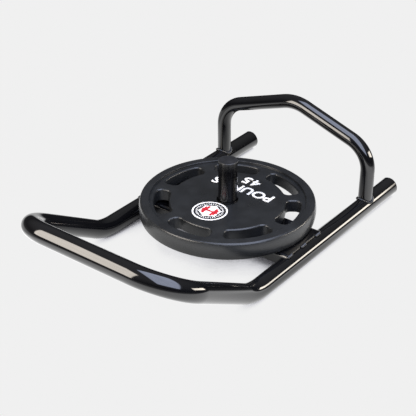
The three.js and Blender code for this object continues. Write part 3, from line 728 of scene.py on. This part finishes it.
# Words and figures: a font curve made into a mesh, stretched into its box and turned to read from the rear.
def lettering(text, name, low, high, nodes=()):
    curve = bpy.data.curves.new(name, "FONT")
    curve.body, curve.size, curve.resolution_u = text, 1, typeSteps["curves"]
    curve.offset, curve.extrude = typeShares["boldness"], typeShares["depth"]
    curve.bevel_depth, curve.bevel_resolution = typeShares["softEdge"], typeSteps["softEdge"]
    carrier = bpy.data.objects.new(name, curve)
    bpy.context.scene.collection.objects.link(carrier)
    mesh = bpy.data.meshes.new_from_object(carrier.evaluated_get(bpy.context.evaluated_depsgraph_get()))
    bpy.data.objects.remove(carrier)
    bm = bmesh.new()
    bm.from_mesh(mesh)
    weldDoubles(bm, typeShares["weld"])
    bmesh.ops.recalc_face_normals(bm, faces=bm.faces[:])
    corners = [[f(v.co[i] for v in bm.verts) for i in range(3)] for f in (min, max)]
    sizes = [high[i] - low[i] for i in range(3)]
    bmesh.ops.translate(bm, verts=bm.verts[:], vec=[-(a + b) / 2 for a, b in zip(*corners)])
    bmesh.ops.scale(bm, verts=bm.verts[:], vec=[s / (b - a) for s, a, b in zip(sizes, *corners)])
    bmesh.ops.rotate(bm, cent=(0, 0, 0), matrix=Matrix.Rotation(math.pi, 3, "Z"), verts=bm.verts[:])
    bmesh.ops.translate(bm, verts=bm.verts[:], vec=(Vector(low) + Vector(high)) / 2)
    finishPiece(bm, name, whiteInlay, "weight_plate", nodes)


def buildLettering():
    for figure in "45":
        low, high = boxOf("digit_" + figure)
        lettering(figure, "numeral_" + figure, low, high, ["digit_" + figure])
    postAxisY = (postLow.y + postHigh.y) / 2
    floor = boxOf("digit_4")[0].z
    lettering("POUNDS", "unit_word",
              (letters["wordLeft"], postAxisY + letters["wordLow"], floor),
              (letters["wordRight"], postAxisY + letters["wordHigh"], floor + letters["thickness"]))


buildBadge()
buildLettering()
print("badge and lettering set")

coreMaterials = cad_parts["plate_core"].data.materials  # the hidden core stays the CAD's own piece
coreMaterials.clear()
coreMaterials.append(castIron)


# Studio

# A softbox stands at a bearing and a height round the sled and faces a point on it.
softboxes = {
    "front": {"azimuth": -125.8, "elevation": 30.7, "distance": 1.0, "size": (0.96, 1.08), "roll": 3.6,
              "power": 39, "colour": "#fff6eb", "aim": (0, -0.48, 0.2)},
    "overhead": {"azimuth": 0.8, "elevation": 63, "distance": 1.72, "size": (1.74, 2.96), "roll": -37,
                 "power": 106, "colour": "#d9e3ff", "aim": (0, -0.4, 0.1)},
    "side": {"azimuth": 40.6, "elevation": 19.2, "distance": 1.77, "size": (1.35, 0.41), "roll": -19.7,
             "power": 30, "colour": "#fff6e8", "aim": (0.25, 0.15, 0.04)},
}
# Places on the cloth run from 0 to 1 both ways.
cloth = {"folds": 5.0, "detail": 2.0, "span": (0.3, 0.7), "evenness": (0.93, 1.07), "middle": 0.5,
         "border": 0.07, "borderGlow": 0.15}
background = {"colour": "#f0f0f0", "wall": 0.03, "ceiling": 0.3, "wallTop": 0.15, "ceilingFoot": 0.7,
              "floorSize": 60}
# The floor's painted shadow under the object, by the share of open air above it: 0 is covered and 1 is free.
contact = {"reach": 0.25, "unlit": 0.045, "deep": (0.09, "#26252a"), "middle": (0.19, "#ccccd2"),
           "clear": 0.4, "samples": 16}
# What the floor gives off to the sled is painted light and shade: dim in the plate's painted shade, bright
# round it, and dimmer again on the left, behind the sled and far away. Each pair of metres is mapped to a
# pair of shares.
bounce = {"centre": (0, 0.05, 0), "strength": 2.5, "shade": (0.24, 0.45, 0.35, 1), "far": (0.95, 1.5, 1, 0.1),
          "left": (-0.55, -0.38, 0.35, 1), "rear": (0.35, 0.8, 1, 0.3)}


# A softbox's cloth: a little uneven in brightness, and dimmer in a narrow border.
def hangCloth(light):
    light.use_nodes = True
    tree = light.node_tree
    tree.nodes.clear()
    place = addNode(tree, "NewGeometry").outputs["Parametric"]
    folds = addNode(tree, "TexNoise", {"Vector": place, "Scale": cloth["folds"], "Detail": cloth["detail"]})
    even = (folds.outputs["Fac"], *cloth["span"], *cloth["evenness"])
    strength = addNode(tree, "MapRange", even).outputs["Result"]
    sides = addNode(tree, "SeparateXYZ", [place]).outputs
    for axis in "XY":
        fromEdge = addNode(tree, "Math", (sides[axis], cloth["middle"]), operation="PINGPONG")
        fade = (fromEdge.outputs["Value"], 0, cloth["border"], cloth["borderGlow"], 1)
        border = addNode(tree, "MapRange", fade).outputs["Result"]
        strength = addNode(tree, "Math", (strength, border), operation="MULTIPLY").outputs["Value"]
    glow = addNode(tree, "Emission", {"Strength": strength})
    addNode(tree, "OutputLight", {"Surface": glow.outputs["Emission"]})


def placeSoftboxes():
    for name, s in softboxes.items():
        light = bpy.data.lights.new(name + " softbox", "AREA")
        light.shape, light.energy, light.color = "RECTANGLE", s["power"], srgb(s["colour"])[:3]
        light.size, light.size_y = s["size"]
        hangCloth(light)
        holder = bpy.data.objects.new(light.name, light)
        bpy.context.scene.collection.objects.link(holder)
        azimuth, elevation = math.radians(s["azimuth"]), math.radians(s["elevation"])
        out = Vector((math.cos(azimuth) * math.cos(elevation), math.sin(azimuth) * math.cos(elevation),
                      math.sin(elevation)))
        facing = (-out).to_track_quat("-Z", "Y").to_matrix().to_4x4()
        holder.matrix_world = (Matrix.Translation(Vector(s["aim"]) + out * s["distance"]) @ facing
                               @ Matrix.Rotation(math.radians(s["roll"]), 4, "Z"))
        holder.visible_camera = False


# Pale sweep: to the camera it glows evenly, with a painted shadow where something stands close above it.
# Overexposed, it gives the sled more light than the camera records of it, as a painted glow.
def placeFloor():
    material, tree = newTree("Pale studio sweep")
    near = addNode(tree, "AmbientOcclusion", {"Distance": contact["reach"]}, samples=contact["samples"])
    # Painted shadow: the floor's colour turns lavender grey where little open air is above it.
    shade = addNode(tree, "ValToRGB", {"Fac": near.outputs["AO"]})
    setRamp(shade, contact["deep"], contact["middle"], (contact["clear"], background["colour"]))
    place = addNode(tree, "TexCoord").outputs["Object"]
    lit = (near.outputs["AO"], contact["unlit"], contact["clear"], 0, bounce["strength"])
    given = addNode(tree, "MapRange", lit).outputs["Result"]
    # Painted light and shade in the glow that the sled sees, set by place on the floor.
    away = addNode(tree, "VectorMath", (place, bounce["centre"]), operation="DISTANCE").outputs["Value"]
    sides = addNode(tree, "SeparateXYZ", [place]).outputs
    for value, key in ((away, "shade"), (away, "far"), (sides["X"], "left"), (sides["Y"], "rear")):
        part = addNode(tree, "MapRange", (value, *bounce[key])).outputs["Result"]
        given = addNode(tree, "Math", (given, part), operation="MULTIPLY").outputs["Value"]
    toCamera = addNode(tree, "LightPath").outputs["Is Camera Ray"]
    strength = addNode(tree, "MapRange", (toCamera, 0, 1, given, 1)).outputs["Result"]  # 1 to the camera
    glow = addNode(tree, "Emission", {"Color": shade.outputs["Color"], "Strength": strength})
    addNode(tree, "OutputMaterial", {"Surface": glow.outputs["Emission"]})
    bm = bmesh.new()
    bmesh.ops.create_grid(bm, x_segments=1, y_segments=1, size=background["floorSize"] / 2)
    floor = objectOf(bm, "floor")
    floor.data.materials.append(material)


# The room is as pale as the sweep to the camera. The enamel mirrors dark walls and a dim ceiling.
def lightRoom():
    world = bpy.data.worlds.new("room")
    world.use_nodes = True
    tree = world.node_tree
    tree.nodes.clear()
    direction = addNode(tree, "SeparateXYZ", [addNode(tree, "TexCoord").outputs["Generated"]])
    heights = (direction.outputs["Z"], background["wallTop"], background["ceilingFoot"],
               background["wall"], background["ceiling"])
    room = addNode(tree, "MapRange", heights).outputs["Result"]
    toCamera = addNode(tree, "LightPath").outputs["Is Camera Ray"]
    strength = addNode(tree, "MapRange", (toCamera, 0, 1, room, 1)).outputs["Result"]  # 1 to the camera
    glow = addNode(tree, "Background", {"Color": srgb(background["colour"]), "Strength": strength})
    addNode(tree, "OutputWorld", {"Surface": glow.outputs["Background"]})
    bpy.context.scene.world = world
    bpy.context.scene.view_settings.view_transform = "Standard"


# The camera looks along a bearing and some degrees below the horizon. Lens and sensor are in millimetres.
camera = {"location": (1.3589, -1.814975, 1.4297), "bearing": 37.296, "below": 30.476, "roll": 0.226,
          "lens": 90.54, "sensor": 36}


def placeCamera():
    data = bpy.data.cameras.new("camera")
    data.lens, data.sensor_width = camera["lens"], camera["sensor"]
    holder = bpy.data.objects.new("camera", data)
    bpy.context.scene.collection.objects.link(holder)
    matrix = Matrix.Translation(camera["location"])
    for degrees, axis in ((camera["bearing"], "Z"), (90 - camera["below"], "X"), (camera["roll"], "Z")):
        matrix = matrix @ Matrix.Rotation(math.radians(degrees), 4, axis)
    holder.matrix_world = matrix
    bpy.context.scene.camera = holder


placeSoftboxes()
placeFloor()
lightRoom()
placeCamera()
print("studio lit")
